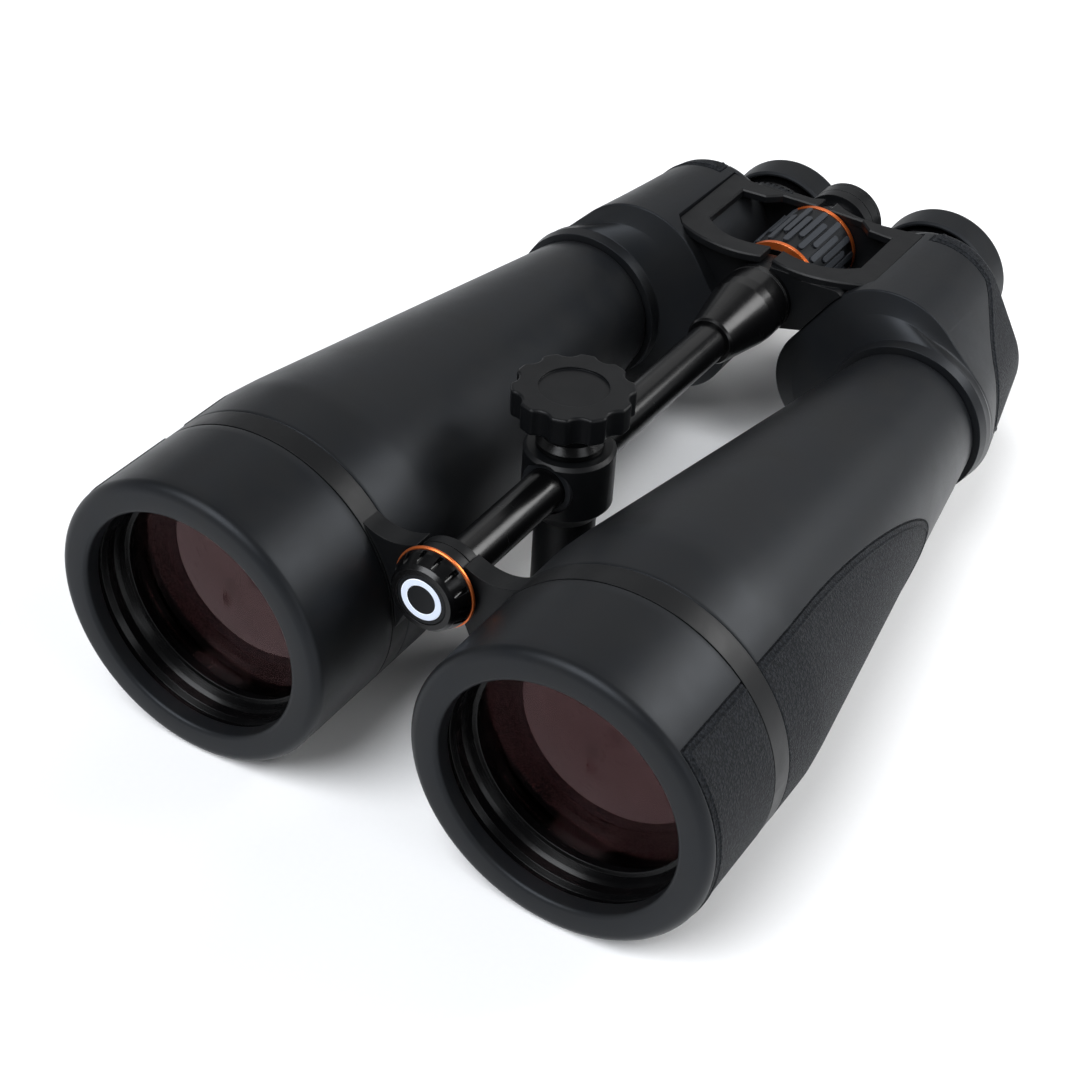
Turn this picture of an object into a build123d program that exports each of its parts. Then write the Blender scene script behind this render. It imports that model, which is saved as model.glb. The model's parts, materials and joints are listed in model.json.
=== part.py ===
from build123d import *
import os
from math import atan2, cos, hypot, radians, sin, sqrt

os.makedirs("parts", exist_ok=True)

# ---------------------------------------------------------------------------
# Frame and driving dimensions (mm)
# ---------------------------------------------------------------------------
# +Y runs from the objectives back to the eyepieces, +X is the left half of
# the person looking through them, +Z is up. A "station" is a distance along
# the tubes, measured back from the front rim. Heights are measured from the
# plane of the two barrel axes and widths from the plane between them.

sides = ("left", "right")

front_station = -2.0          # rounded front of the sleeve
back_station = 353.8          # back of the raised eyecups
barrel_x = 67.7               # objective axes at rest
eyepiece_x = 34.5             # eyepiece axes at rest (69 mm apart)
hinge_z = 22.9                # hinge axis over the barrel axes
sleeve_r = 51.4               # front sleeve, the widest and lowest part

middle_station = (front_station + back_station) / 2
lift = sleeve_r               # barrel axes over the ground

running_fit = 0.05            # radial clearance of shafts in their bores
skin_gap = 0.05               # between a skin and what carries it

# objective end
glass_r = 40.0
clear_r = 37.9
rim_opening_r = 40.7
tube_front_r = 49.0
cell_r = 44.0
collar_front = 37.6
collar_back = 46.4
armour_front = 46.7
armour_back = 239.6
cone_start = 69.6             # where the barrel starts to taper
cone_start_r = 51.4
cone_end_r = 27.8
armour_thickness = 2.0
tube_wall = 1.8

# prism housing
boot_front = 240.0
boot_neck = 244.4
boot_shoulder = 248.6
boot_ring_r = 30.2
boot_neck_r = 30.8
spigot_seat_r = 25.05         # seat of the barrel's rear spigot
housing_front = 252.0
cover_front = 304.0
cover_inner = 306.4
cover_back = 311.0
housing_wall = 2.5
prism_size = 23.4             # aperture of the porro prisms
shelf_front = 279.6
shelf_back = 282.0

# circles (x, z, radius) whose belt is the section of the housing: top, eyepiece side, bottom, barrel side
boot_shoulder_circles = [(55.5, 9.5, 26.0), (41.0, -4.0, 22.0), (60.0, -7.5, 25.5), (67.7, -0.6, 30.7)]
housing_front_circles = [(53.0, 13.0, 30.0), (36.0, -4.0, 25.5), (60.0, -10.0, 27.0), (67.7, -2.5, 30.4)]
housing_back_circles = [(49.0, 13.5, 27.0), (36.0, -4.0, 24.5), (56.0, -10.0, 25.0), (61.0, -5.0, 26.0)]

# where the light crosses the shelf: from the objective, between the prisms, to the eyepiece
prism_step = (barrel_x - eyepiece_x) / 2
light_path = [(barrel_x, 0.0), (barrel_x - prism_step, -prism_step), (eyepiece_x, 0.0)]

# hinge
rod_r = 7.3
axle_r = 7.0
knuckle_r = 12.6
front_knuckles = {"left": (38.6, 42.3), "right": (42.7, 46.4)}
middle_knuckles = {"left": (251.0, 256.6), "right": (257.0, 262.6)}
rear_knuckles = {"left": (301.2, 304.9), "right": (305.3, 309.0)}
plate_under = 36.0
plate_top = 39.0
plate_gap = 2.5               # each plate stops this far from the middle
lug_x = 9.6                   # lug between the plate and each knuckle
lug_width = 12.8
lug_height = 6.0

# focusing
wheel_front = 265.4
wheel_back = 300.6
wheel_core_r = 13.2
wheel_ring_r = 16.3
wheel_grip_r = 16.0
screw_r = 4.5
hub_front = 316.2
hub_back = 329.8
arm_stations = {"left": (316.5, 321.2), "right": (321.6, 326.3)}

# eyepieces
spigot_r = 12.5
eyepiece_r = 17.0
eyecup_r = 26.7
eyecup_front = 338.5

# tripod post
post_station = 114.6
post_r = 10.5
post_head_r = 15.5
post_bottom = -46.0
insert_bore_r = 2.6           # wall of a 1/4-20 thread


# ---------------------------------------------------------------------------
# Helpers
# ---------------------------------------------------------------------------
def across(station, x=0.0, z=0.0):
    """Plane square to the tubes: local x is +X, local y is +Z, it faces the front."""
    return Plane(origin=(x, station - middle_station, lift + z), x_dir=(1, 0, 0), z_dir=(0, -1, 0))


def lengthwise(x=0.0, z=0.0):
    """Plane along an axis parallel to the tubes: local x is the station, local y the radius."""
    return Plane(origin=(x, -middle_station, lift + z), x_dir=(0, 1, 0), z_dir=(1, 0, 0))


def tube_axis(x=0.0, z=0.0):
    return Axis((x, 0, lift + z), (0, 1, 0))


def level(z, station=post_station):
    """Level plane centred on the rod at a station, facing up."""
    return Plane(origin=(0, station - middle_station, lift + z), x_dir=(1, 0, 0), z_dir=(0, 0, 1))


def upright(station=post_station):
    """Plane through the post's axis: local x is the radius, local y the height."""
    return Plane(origin=(0, station - middle_station, lift), x_dir=(1, 0, 0), z_dir=(0, -1, 0))


def save(piece, name):
    piece.part.label = name
    export_step(piece.part, f"parts/{name}.step")


def save_side(piece, side, name):
    """Pieces are made as left ones; a right one is the mirror image."""
    if side == "right":
        with BuildPart() as mirrored:
            mirror(piece.part, about=Plane.YZ)
        piece = mirrored
    save(piece, f"{side}_{name}")


def save_pair(piece, name):
    for side in sides:
        save_side(piece, side, name)


def turned(outline, x=0.0, z=0.0):
    """Solid of revolution about an axis along the tubes, from (station, radius) points."""
    with BuildPart() as piece:
        with BuildSketch(lengthwise(x, z)):
            with BuildLine():
                Polyline(*outline, close=True)
            make_face()
        revolve(axis=tube_axis(x, z))
    return piece


def belt(circles):
    """Outline of a belt round circles (x, z, radius), given anticlockwise."""
    normals = []
    following = circles[1:] + circles[:1]
    for (x1, z1, r1), (x2, z2, r2) in zip(circles, following):
        length = hypot(x2 - x1, z2 - z1)
        along = ((x2 - x1) / length, (z2 - z1) / length)
        lean = (r1 - r2) / length
        out = sqrt(1 - lean**2)
        normals.append((lean * along[0] + out * along[1], lean * along[1] - out * along[0]))
    for index, (x, z, r) in enumerate(circles):
        before = normals[index - 1]
        after = normals[index]
        size = hypot(before[0] + after[0], before[1] + after[1])
        middle = ((before[0] + after[0]) / size, (before[1] + after[1]) / size)
        start, crest, end = ((x + r * n[0], z + r * n[1]) for n in (before, middle, after))
        ThreePointArc(start, crest, end)
        next_x, next_z, next_r = following[index]
        Line(end, (next_x + next_r * after[0], next_z + next_r * after[1]))


def shrunk(circles, inset):
    return [(x, z, r - inset) for x, z, r in circles]


def housing_circles(station, inset=0.0):
    """Circles whose belt is the prism housing's section at a station."""
    share = (station - housing_front) / (cover_front - housing_front)
    circles = [
        tuple(a + (b - a) * share for a, b in zip(near, far))
        for near, far in zip(housing_front_circles, housing_back_circles)
    ]
    return shrunk(circles, inset)


def housing_section(station, inset=0.0):
    """Face of the housing's section, on its own plane."""
    with BuildSketch(across(station)) as section:
        with BuildLine():
            belt(housing_circles(station, inset))
        make_face()
    return section.sketch


def barrel_radius(station, depth=0.0):
    """Radius of the tapered barrel's skin at a station, or this depth under it."""
    slope = (cone_start_r - cone_end_r) / (armour_back - cone_start)
    return cone_start_r - slope * max(0.0, station - cone_start) - depth


# ---------------------------------------------------------------------------
# Objective end
# ---------------------------------------------------------------------------
def front_sleeve():
    with BuildPart() as sleeve:
        with BuildSketch(lengthwise(barrel_x)):
            with BuildLine():
                Polyline(
                    (front_station, rim_opening_r + 1.6),
                    (front_station, sleeve_r - 3.6),
                )
                JernArc((front_station, sleeve_r - 3.6), (0, 1), 3.6, -90)
                Polyline(
                    (front_station + 3.6, sleeve_r),
                    (collar_front - 0.6, sleeve_r),
                    (collar_front - 0.2, sleeve_r - 0.4),
                    (collar_front - 0.2, tube_front_r + 0.4),
                    (collar_front - 0.8, tube_front_r),
                    (collar_front - 1.6, cell_r + skin_gap),
                    (4.0, cell_r + skin_gap),
                    (4.0, rim_opening_r),
                    (front_station + 1.6, rim_opening_r),
                )
                JernArc((front_station + 1.6, rim_opening_r), (-1, 0), 1.6, -90)
            make_face()
        revolve(axis=tube_axis(barrel_x))
    save_pair(sleeve, "front_sleeve")


def barrel_tube():
    """Tube from the lens cell back to the spigot in the prism housing."""
    cone_depth = armour_thickness + skin_gap
    bore_depth = cone_depth + tube_wall
    outline = [
        (4.1, cell_r),
        (collar_front - 1.2, cell_r),
        (collar_front - 0.4, tube_front_r),
        (48.0, tube_front_r),
        (50.0, barrel_radius(50.0, cone_depth)),
        (cone_start, barrel_radius(cone_start, cone_depth)),
        (armour_back, barrel_radius(armour_back, cone_depth)),
        (armour_back, spigot_seat_r - skin_gap),
        (housing_front + 3.0, spigot_seat_r - skin_gap),
        (housing_front + 3.0, 23.4),
        (armour_back - 4.0, 23.4),
        (cone_start + 4.0, barrel_radius(cone_start + 4.0, bore_depth)),
        (44.0, barrel_radius(44.0, bore_depth)),
        (38.0, cell_r - 1.8),
        (35.0, clear_r + 0.3),
        (31.5, clear_r + 0.3),
        (31.5, glass_r + 0.1),
        (16.2, glass_r + 0.1),
        (16.2, 41.6),
        (4.1, 41.6),
    ]
    save_pair(turned(outline, barrel_x), "barrel_tube")


def retaining_ring():
    outline = [(6.0, 41.5), (6.0, 40.9)]
    steps = 4
    for step in range(steps):
        station = 6.0 + 9.3 * (step + 1) / steps
        outer = 40.9 - 3.0 * step / steps
        outline += [(station - 0.9, outer - 0.1), (station, 40.9 - 3.0 * (step + 1) / steps)]
    outline += [(16.1, clear_r), (16.1, 41.5)]
    save_pair(turned(outline, barrel_x), "retaining_ring")


def dome(vertex, edge, radius):
    """Spherical face from the axis out to its edge, as an arc in a lengthwise sketch."""
    sag = edge - vertex
    curve = (radius**2 + sag**2) / (2 * sag)
    half_angle = atan2(radius, curve - sag) / 2 if curve > 0 else atan2(radius, sag - curve) / 2
    middle = (vertex + curve * (1 - cos(half_angle)), abs(curve) * sin(half_angle))
    return ThreePointArc((vertex, 0), middle, (edge, radius))


def ground_lens(x, radius, front_vertex, front_edge, back_edge, back_vertex):
    """Lens from the vertices and edges of its two faces."""
    with BuildPart() as lens:
        with BuildSketch(lengthwise(x)):
            with BuildLine():
                dome(front_vertex, front_edge, radius)
                Line((front_edge, radius), (back_edge, radius))
                dome(back_vertex, back_edge, radius)
                Line((back_vertex, 0), (front_vertex, 0))
            make_face()
        revolve(axis=tube_axis(x))
    return lens


def crown_lens():
    save_pair(ground_lens(barrel_x, glass_r, 16.8, 20.6, 24.2, 27.2), "crown_lens")


def flint_lens():
    save_pair(ground_lens(barrel_x, glass_r, 27.3, 24.3, 31.4, 30.9), "flint_lens")


def front_bridge(side):
    """Collar round the barrel with the arm that hooks round the rod."""
    own_front, own_back = front_knuckles[side]
    other_front, other_back = front_knuckles["right" if side == "left" else "left"]
    arm_front = front_knuckles["left"][0]
    with BuildPart() as bridge:
        with BuildSketch(across(collar_back)):
            with Locations((barrel_x, 0)):
                Circle(sleeve_r)
        extrude(amount=collar_back - collar_front)
        with BuildSketch(across(collar_back)):
            with BuildLine():
                Spline((9, 33.5), (21, 31.0), (36, 40.0))
                Polyline((36, 40.0), (50, 30.0), (50, -28.0), (30, -30.0))
                Spline((30, -30.0), (20, -10.0), (9, 13.0))
                Line((9, 13.0), (9, 33.5))
            make_face()
        extrude(amount=collar_back - arm_front)
        with BuildSketch(across(other_back + 0.4, 0, hinge_z)):
            Circle(knuckle_r + 0.5)
        extrude(amount=other_back - other_front + 0.8, mode=Mode.SUBTRACT)
        with BuildSketch(across(own_back, 0, hinge_z)):
            Circle(knuckle_r)
        extrude(amount=own_back - own_front)
        with BuildSketch(across(collar_back + 1)):
            with Locations((0, hinge_z)):
                Circle(axle_r + running_fit)
            with Locations((barrel_x, 0)):
                Circle(tube_front_r + skin_gap)
        extrude(amount=collar_back - collar_front + 2, mode=Mode.SUBTRACT)
    save_side(bridge, side, "front_bridge")


def barrel_armour():
    tail = barrel_radius(armour_back)
    outline = [
        (armour_front, tube_front_r + skin_gap + 0.2),
        (armour_front, cone_start_r - 0.5),
        (armour_front + 0.5, cone_start_r),
        (cone_start - 4.0, cone_start_r),
        (cone_start, cone_start_r - 0.25),
        (cone_start + 4.0, barrel_radius(cone_start + 4.0)),
        (armour_back - 1.0, barrel_radius(armour_back - 1.0)),
        (armour_back, tail - 0.9),
        (armour_back, tail - armour_thickness),
        (cone_start, cone_start_r - armour_thickness),
        (50.0, cone_start_r - armour_thickness),
        (48.2, tube_front_r + skin_gap + 0.2),
    ]
    save_pair(turned(outline, barrel_x), "barrel_armour")


# ---------------------------------------------------------------------------
# Prism housing
# ---------------------------------------------------------------------------
def ring_section(station, radius):
    with BuildSketch(across(station)) as ring:
        with Locations((barrel_x, 0)):
            Circle(radius)
    return ring.sketch


def boot_shape(inset=0.0):
    """Flare from the ring round the barrel to the front of the prism housing."""
    ring = loft([ring_section(boot_front, boot_ring_r - inset),
                 ring_section(boot_neck, boot_neck_r - inset)], mode=Mode.PRIVATE)
    with BuildSketch(across(boot_shoulder)) as middle:
        with BuildLine():
            belt(shrunk(boot_shoulder_circles, inset))
        make_face()
    neck = loft([ring_section(boot_neck, boot_neck_r - inset), middle.sketch], mode=Mode.PRIVATE)
    shoulder = loft([middle.sketch, housing_section(housing_front, inset)], mode=Mode.PRIVATE)
    return ring, neck, shoulder


def housing_boot():
    with BuildPart() as boot:
        for solid in boot_shape():
            add(solid)
        for solid in boot_shape(housing_wall)[1:]:
            add(solid, mode=Mode.SUBTRACT)
        with BuildSketch(across(housing_front + 1)):
            with Locations((barrel_x, 0)):
                Circle(spigot_seat_r)
        extrude(amount=housing_front - boot_front + 2, mode=Mode.SUBTRACT)
    save_pair(boot, "housing_boot")


def plate_seat(depth_below):
    """Block that cuts the flat seat of the top plate, this far below the plate."""
    with BuildSketch(Plane(origin=(0, -middle_station, lift + plate_under - depth_below))) as seat:
        with BuildLine():
            Polyline((0, 249.0), (30.0, 252.5), (38.1, 257.1), (41.15, 260.4), (41.15, 305.7),
                     (0, 305.7), close=True)
        make_face()
    return extrude(seat.sketch, amount=12, mode=Mode.PRIVATE)


def prism_housing():
    with BuildPart() as housing:
        add(loft([housing_section(housing_front), housing_section(cover_front)], mode=Mode.PRIVATE))
        cavity = loft([housing_section(housing_front + 3, housing_wall),
                       housing_section(cover_front + 1, housing_wall)], mode=Mode.PRIVATE)
        add(cavity - plate_seat(housing_wall), mode=Mode.SUBTRACT)
        add(plate_seat(skin_gap), mode=Mode.SUBTRACT)
        with BuildSketch(across(housing_front + 4)):
            with Locations((barrel_x, 0)):
                Circle(spigot_seat_r)
        extrude(amount=5, mode=Mode.SUBTRACT)
    save_pair(housing, "prism_housing")


screw_places = [(66.0, 17.0), (76.0, -14.0), (46.0, -27.0)]


def rear_cover():
    with BuildPart() as cover:
        add(loft([housing_section(cover_front), housing_section(cover_back)], mode=Mode.PRIVATE))
        fillet(cover.faces().sort_by(Axis.Y)[-1].edges(), radius=4.5)
        recess = loft([housing_section(cover_front - 1, housing_wall),
                       housing_section(cover_inner, housing_wall)], mode=Mode.PRIVATE)
        add(recess - plate_seat(housing_wall), mode=Mode.SUBTRACT)
        add(plate_seat(skin_gap), mode=Mode.SUBTRACT)
        with BuildSketch(across(cover_back + 1)):
            with Locations((eyepiece_x, 0)):
                Circle(spigot_r + running_fit)
        extrude(amount=8, mode=Mode.SUBTRACT)
        with BuildSketch(across(cover_back)):
            with Locations(*screw_places):
                Circle(2.6)
        extrude(amount=1.4, mode=Mode.SUBTRACT)
        with BuildSketch(across(cover_back)):
            with Locations(*screw_places):
                Circle(1.3)
        extrude(amount=6, mode=Mode.SUBTRACT)
    save_pair(cover, "rear_cover")


def cover_screws():
    with BuildPart() as screws:
        with BuildSketch(across(cover_back - 0.2)):
            with Locations(*screw_places):
                Circle(2.45)
        extrude(amount=1.2)
        with BuildSketch(across(cover_back - 1.3)):
            with Locations(*screw_places):
                Circle(1.25)
        extrude(amount=3.2)
        with BuildSketch(across(cover_back - 0.2)):
            with Locations(*screw_places):
                Rectangle(3.0, 0.6)
                Rectangle(0.6, 3.0)
        extrude(amount=0.7, mode=Mode.SUBTRACT)
    save_pair(screws, "cover_screws")


def prism_shelf():
    with BuildPart() as shelf:
        with BuildSketch(across(shelf_back)):
            with BuildLine():
                belt(housing_circles(shelf_back, housing_wall + 0.6))
            make_face()
            with Locations(*light_path):
                Circle(10.6, mode=Mode.SUBTRACT)
        extrude(amount=shelf_back - shelf_front)
        add(plate_seat(housing_wall + 0.4), mode=Mode.SUBTRACT)
    save_pair(shelf, "prism_shelf")


def porro_prism(first, second, base_station, toward):
    """Right-angle prism standing on its long face, with its ends rounded off."""
    run = hypot(second[0] - first[0], second[1] - first[1])
    x_dir = Vector(second[0] - first[0], 0, second[1] - first[1]) / run
    z_dir = x_dir.cross(Vector(0, toward, 0))
    centre = ((first[0] + second[0]) / 2, base_station - middle_station, lift + (first[1] + second[1]) / 2)
    with BuildPart() as prism:
        with BuildSketch(Plane(origin=centre, x_dir=x_dir, z_dir=z_dir)):
            with BuildLine():
                Polyline((-prism_size, 0), (prism_size, 0), (0, prism_size), close=True)
            make_face()
        extrude(amount=prism_size / 2, both=True)
        with BuildSketch(Plane(origin=centre, x_dir=x_dir, z_dir=(0, toward, 0))):
            SlotOverall(2 * prism_size, prism_size)
        extrude(amount=prism_size + 1, mode=Mode.INTERSECT)
    return prism


def entry_prism():
    save_pair(porro_prism(light_path[0], light_path[1], shelf_back + skin_gap, 1), "entry_prism")


def exit_prism():
    save_pair(porro_prism(light_path[1], light_path[2], shelf_front - skin_gap, -1), "exit_prism")


def top_plate():
    """Half of the plate over the focusing wheel, with its side of the window."""
    with BuildPart() as plate:
        with BuildSketch(Plane(origin=(0, -middle_station, lift + plate_under))):
            with BuildLine():
                Spline((plate_gap, 253.4), (14, 250.8), (27, 252.6), (38, 257.2))
                Line((38, 257.2), (41, 260.5))
                Line((41, 260.5), (41, 305.5))
                Spline((41, 305.5), (30, 303.6), (20, 302.8), (plate_gap, 308.9))
                Line((plate_gap, 308.9), (plate_gap, 301.3))
                Line((plate_gap, 301.3), (16.9, 300.8))
                Line((16.9, 300.8), (22, 296.0))
                Line((22, 296.0), (31.6, 295.3))
                Line((31.6, 295.3), (31.6, 268.2))
                Spline((31.6, 268.2), (24, 262.2), (plate_gap, 262.4))
                Line((plate_gap, 262.4), (plate_gap, 253.4))
            make_face()
        extrude(amount=plate_top - plate_under)
        chamfer(plate.faces().sort_by(Axis.Z)[-1].edges(), length=0.6)
    return plate.part


def hinge_frame(side):
    """Top plate, and the knuckles under its arms that turn on the axle."""
    with BuildPart() as frame:
        for front, back in (middle_knuckles[side], rear_knuckles[side]):
            with BuildSketch(across(back)):
                with BuildLine():
                    belt([(29.0, 32.0, 4.4), (0, hinge_z, knuckle_r - 0.6), (24.0, 22.0, 5.0)])
                make_face()
                with Locations((0, hinge_z)):
                    Circle(knuckle_r)
            extrude(amount=back - front)
            with BuildSketch(across(back)):
                with Locations((lug_x, plate_under - lug_height / 2 + 1)):
                    Rectangle(lug_width, lug_height)
            extrude(amount=back - front)
        add(loft([housing_section(housing_front - 4, -skin_gap),
                  housing_section(cover_back + 2, -skin_gap)], mode=Mode.PRIVATE), mode=Mode.SUBTRACT)
        add(top_plate())
        with BuildSketch(across(rear_knuckles["right"][1] + 1)):
            with Locations((0, hinge_z)):
                Circle(axle_r + running_fit)
        extrude(amount=62, mode=Mode.SUBTRACT)
    save_side(frame, side, "hinge_frame")


# ---------------------------------------------------------------------------
# Eyepieces
# ---------------------------------------------------------------------------
def eyepiece_arm(side):
    """Arm from the focusing hub to the ring that holds the eyepiece."""
    front, back = arm_stations[side]
    with BuildPart() as arm:
        with BuildSketch(across(back)):
            with BuildLine():
                belt([(eyepiece_x - 6, 4.0, 9.0), (2.0, hinge_z - 1.0, 8.0)])
            make_face()
            with Locations((0, hinge_z)):
                Circle(14.4)
                Circle(9.0 + running_fit, mode=Mode.SUBTRACT)
            with Locations((eyepiece_x, 0)):
                Circle(21.0)
                Circle(eyepiece_r + running_fit, mode=Mode.SUBTRACT)
        extrude(amount=back - front)
    save_side(arm, side, "eyepiece_arm")


def eyepiece_tube(side):
    has_diopter = side == "right"
    outline = [
        (305.5, 11.2),
        (305.5, spigot_r),
        (318.2, spigot_r),
        (318.2, eyepiece_r),
        (327.0 if not has_diopter else 335.3, eyepiece_r),
    ]
    if not has_diopter:
        outline += [(327.0, 23.6), (327.6, 24.2), (334.6, 24.2), (335.3, 23.6)]
    outline += [
        (335.3, 21.0),
        (341.0, 21.0),
        (341.0, 13.1),
        (331.0, 13.1),
        (331.0, 11.4),
        (326.6, 11.4),
        (326.6, 13.6),
        (319.6, 13.6),
        (319.6, 11.2),
    ]
    save_side(turned(outline, eyepiece_x), side, "eyepiece_tube")


def field_lens():
    save_pair(ground_lens(eyepiece_x, 13.5, 320.0, 321.2, 325.2, 326.1), "field_lens")


def eye_lens():
    save_pair(ground_lens(eyepiece_x, 13.0, 331.6, 332.8, 337.0, 338.4), "eye_lens")


def eyecup_sleeve():
    outline = [
        (335.6, 21.0 + running_fit),
        (335.6, 22.6),
        (336.2, 23.0),
        (342.2, 23.0),
        (342.2, 14.6),
        (341.3, 14.6),
        (341.3, 21.0 + running_fit),
    ]
    save_pair(turned(outline, eyepiece_x), "eyecup_sleeve")


def eyecup():
    x = eyepiece_x
    with BuildPart() as cup:
        with BuildSketch(lengthwise(x)):
            with BuildLine():
                Polyline(
                    (eyecup_front, eyecup_r - 1.0),
                    (eyecup_front + 1.0, eyecup_r - 0.4),
                    (back_station - 3.2, eyecup_r),
                )
                JernArc((back_station - 3.2, eyecup_r), (1, 0), 3.2, -90)
                Line((back_station, eyecup_r - 3.2), (back_station, 16.6))
                JernArc((back_station, 16.6), (0, -1), 1.4, -90)
                Polyline(
                    (back_station - 1.4, 15.2),
                    (350.6, 15.2),
                    (350.6, 23.1),
                    (344.6, 23.1),
                    (343.8, 24.9),
                    (eyecup_front, 24.9),
                    (eyecup_front, eyecup_r - 1.0),
                )
            make_face()
        revolve(axis=tube_axis(x))
    save_pair(cup, "eyecup")


def diopter_ring():
    """Ribbed ring, short enough to clear the eyepiece as it slides."""
    front = 327.0
    back = 333.5
    with BuildPart() as ring:
        with BuildSketch(across(back)):
            with Locations((-eyepiece_x, 0)):
                Circle(24.0)
                Circle(eyepiece_r + running_fit, mode=Mode.SUBTRACT)
                with PolarLocations(24.2, 56):
                    Circle(0.8, mode=Mode.SUBTRACT)
        extrude(amount=back - front)
    save(ring, "diopter_ring")


# ---------------------------------------------------------------------------
# Rod, focusing and front knob
# ---------------------------------------------------------------------------
def rod():
    outline = [
        (30.5, 0),
        (30.5, 4.0),
        (37.6, 4.0),
        (37.6, axle_r),
        (collar_back + 0.3, axle_r),
        (collar_back + 0.3, rod_r),
        (220.0, rod_r),
        (220.0, axle_r),
        (309.2, axle_r),
        (309.2, screw_r + running_fit),
        (232.0, screw_r + running_fit),
        (232.0, 0),
    ]
    with BuildPart() as bar:
        with BuildSketch(lengthwise(0, hinge_z)):
            with BuildLine():
                Polyline(*outline, close=True)
            make_face()
        revolve(axis=tube_axis(0, hinge_z))
        with BuildSketch(level(hinge_z, 283.0)):
            Rectangle(4.2, 22.0)
        extrude(amount=axle_r + 1, both=True, mode=Mode.SUBTRACT)
    save(bar, "rod")


def cone_sleeve():
    outline = [
        (212.0, rod_r + skin_gap),
        (212.0, 8.6),
        (213.0, 9.2),
        (235.5, 13.2),
        (240.0, 13.6),
        (247.6, 13.6),
        (247.9, 13.1),
        (248.5, 13.1),
        (248.8, 13.6),
        (250.7, 13.6),
        (250.7, axle_r + skin_gap),
        (220.2, axle_r + skin_gap),
        (220.2, rod_r + skin_gap),
    ]
    save(turned(outline, 0, hinge_z), "cone_sleeve")


def focus_wheel():
    outline = [
        (wheel_front, axle_r + running_fit),
        (wheel_front, wheel_core_r),
        (wheel_back, wheel_core_r),
        (wheel_back, axle_r + running_fit),
        (297.2, axle_r + running_fit),
        (297.2, 10.2),
        (268.8, 10.2),
        (268.8, axle_r + running_fit),
    ]
    save(turned(outline, 0, hinge_z), "focus_wheel")


def wheel_rings():
    width = 1.7
    with BuildPart() as rings:
        for back in (wheel_front + width, wheel_back):
            with BuildSketch(across(back, 0, hinge_z)):
                Circle(wheel_ring_r)
                Circle(wheel_core_r + skin_gap, mode=Mode.SUBTRACT)
            extrude(amount=width)
    save(rings, "wheel_rings")


def grip_bars(station, length, count, turn):
    """Planes on the wheel's grip for one staggered row of raised bars."""
    planes = []
    for index in range(count):
        angle = radians(turn + 360.0 * index / count)
        out = Vector(sin(angle), 0, cos(angle))
        base = Vector(0, station + length / 2 - middle_station, lift + hinge_z) + out * (wheel_grip_r - 0.3)
        planes.append(Plane(origin=base, x_dir=(0, 1, 0), z_dir=out))
    return planes


def wheel_grip():
    count = 16
    half_pitch = 180.0 / count
    front = wheel_front + 2.0
    back = wheel_back - 2.0
    with BuildPart() as grip:
        with BuildSketch(across(back, 0, hinge_z)):
            Circle(wheel_grip_r)
            Circle(wheel_core_r + skin_gap, mode=Mode.SUBTRACT)
        extrude(amount=back - front)
        for start, turn in ((front + 1.2, 0.0), (back - 1.2 - 22.0, half_pitch)):
            with BuildSketch(*grip_bars(start, 22.0, count, turn)):
                SlotOverall(22.0, 2.3)
            extrude(amount=1.2)
    save(grip, "wheel_grip")


def focus_screw():
    outline = [
        (238.0, 0),
        (238.0, screw_r - 0.6),
        (238.6, screw_r),
        (314.8, screw_r),
        (314.8, 10.0),
        (316.1, 10.0),
        (316.1, screw_r),
        (327.0, screw_r),
        (327.0, 0),
    ]
    with BuildPart() as screw:
        with BuildSketch(lengthwise(0, hinge_z)):
            with BuildLine():
                Polyline(*outline, close=True)
            make_face()
        revolve(axis=tube_axis(0, hinge_z))
        with BuildSketch(level(hinge_z, 283.0)):
            Rectangle(3.6, 7.0)
        extrude(amount=9.6, both=True)
    save(screw, "focus_screw")


def bridge_hub():
    outline = [
        (hub_front, screw_r + skin_gap),
        (hub_front, 9.0),
        (326.5, 9.0),
        (326.5, 14.4),
        (328.6, 14.4),
        (hub_back, 13.0),
        (hub_back, 0),
        (327.2, 0),
        (327.2, screw_r + skin_gap),
    ]
    save(turned(outline, 0, hinge_z), "bridge_hub")


def lock_knob():
    outline = [
        (28.6, 9.0),
        (28.6, 10.8),
        (29.8, 11.9),
        (34.0, 13.6),
        (35.6, 13.9),
        (35.6, 13.2),
        (37.3, 13.2),
        (37.3, 4.0 + running_fit),
        (30.2, 4.0 + running_fit),
        (30.2, 0),
        (29.6, 0),
        (29.6, 9.0),
    ]
    with BuildPart() as knob:
        with BuildSketch(lengthwise(0, hinge_z)):
            with BuildLine():
                Polyline(*outline, close=True)
            make_face()
        revolve(axis=tube_axis(0, hinge_z))
        with BuildSketch(across(35.3, 0, hinge_z)):
            with PolarLocations(13.7, 14):
                SlotOverall(3.4, 1.7)
        extrude(amount=5.1, mode=Mode.SUBTRACT)
    save(knob, "lock_knob")


def lock_knob_ring():
    outline = [(35.8, 13.2 + skin_gap), (35.8, 14.2), (36.1, 14.5), (36.7, 14.5), (37.0, 14.2),
               (37.0, 13.2 + skin_gap)]
    save(turned(outline, 0, hinge_z), "lock_knob_ring")


def lock_knob_badge():
    outline = [(28.7, 0), (28.7, 8.6), (28.9, 8.9), (29.55, 8.9), (29.55, 0)]
    save(turned(outline, 0, hinge_z), "lock_knob_badge")


def lock_washer():
    outline = [(37.65, axle_r + running_fit), (37.65, 11.0), (38.35, 11.0), (38.35, axle_r + running_fit)]
    save(turned(outline, 0, hinge_z), "lock_washer")


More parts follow.
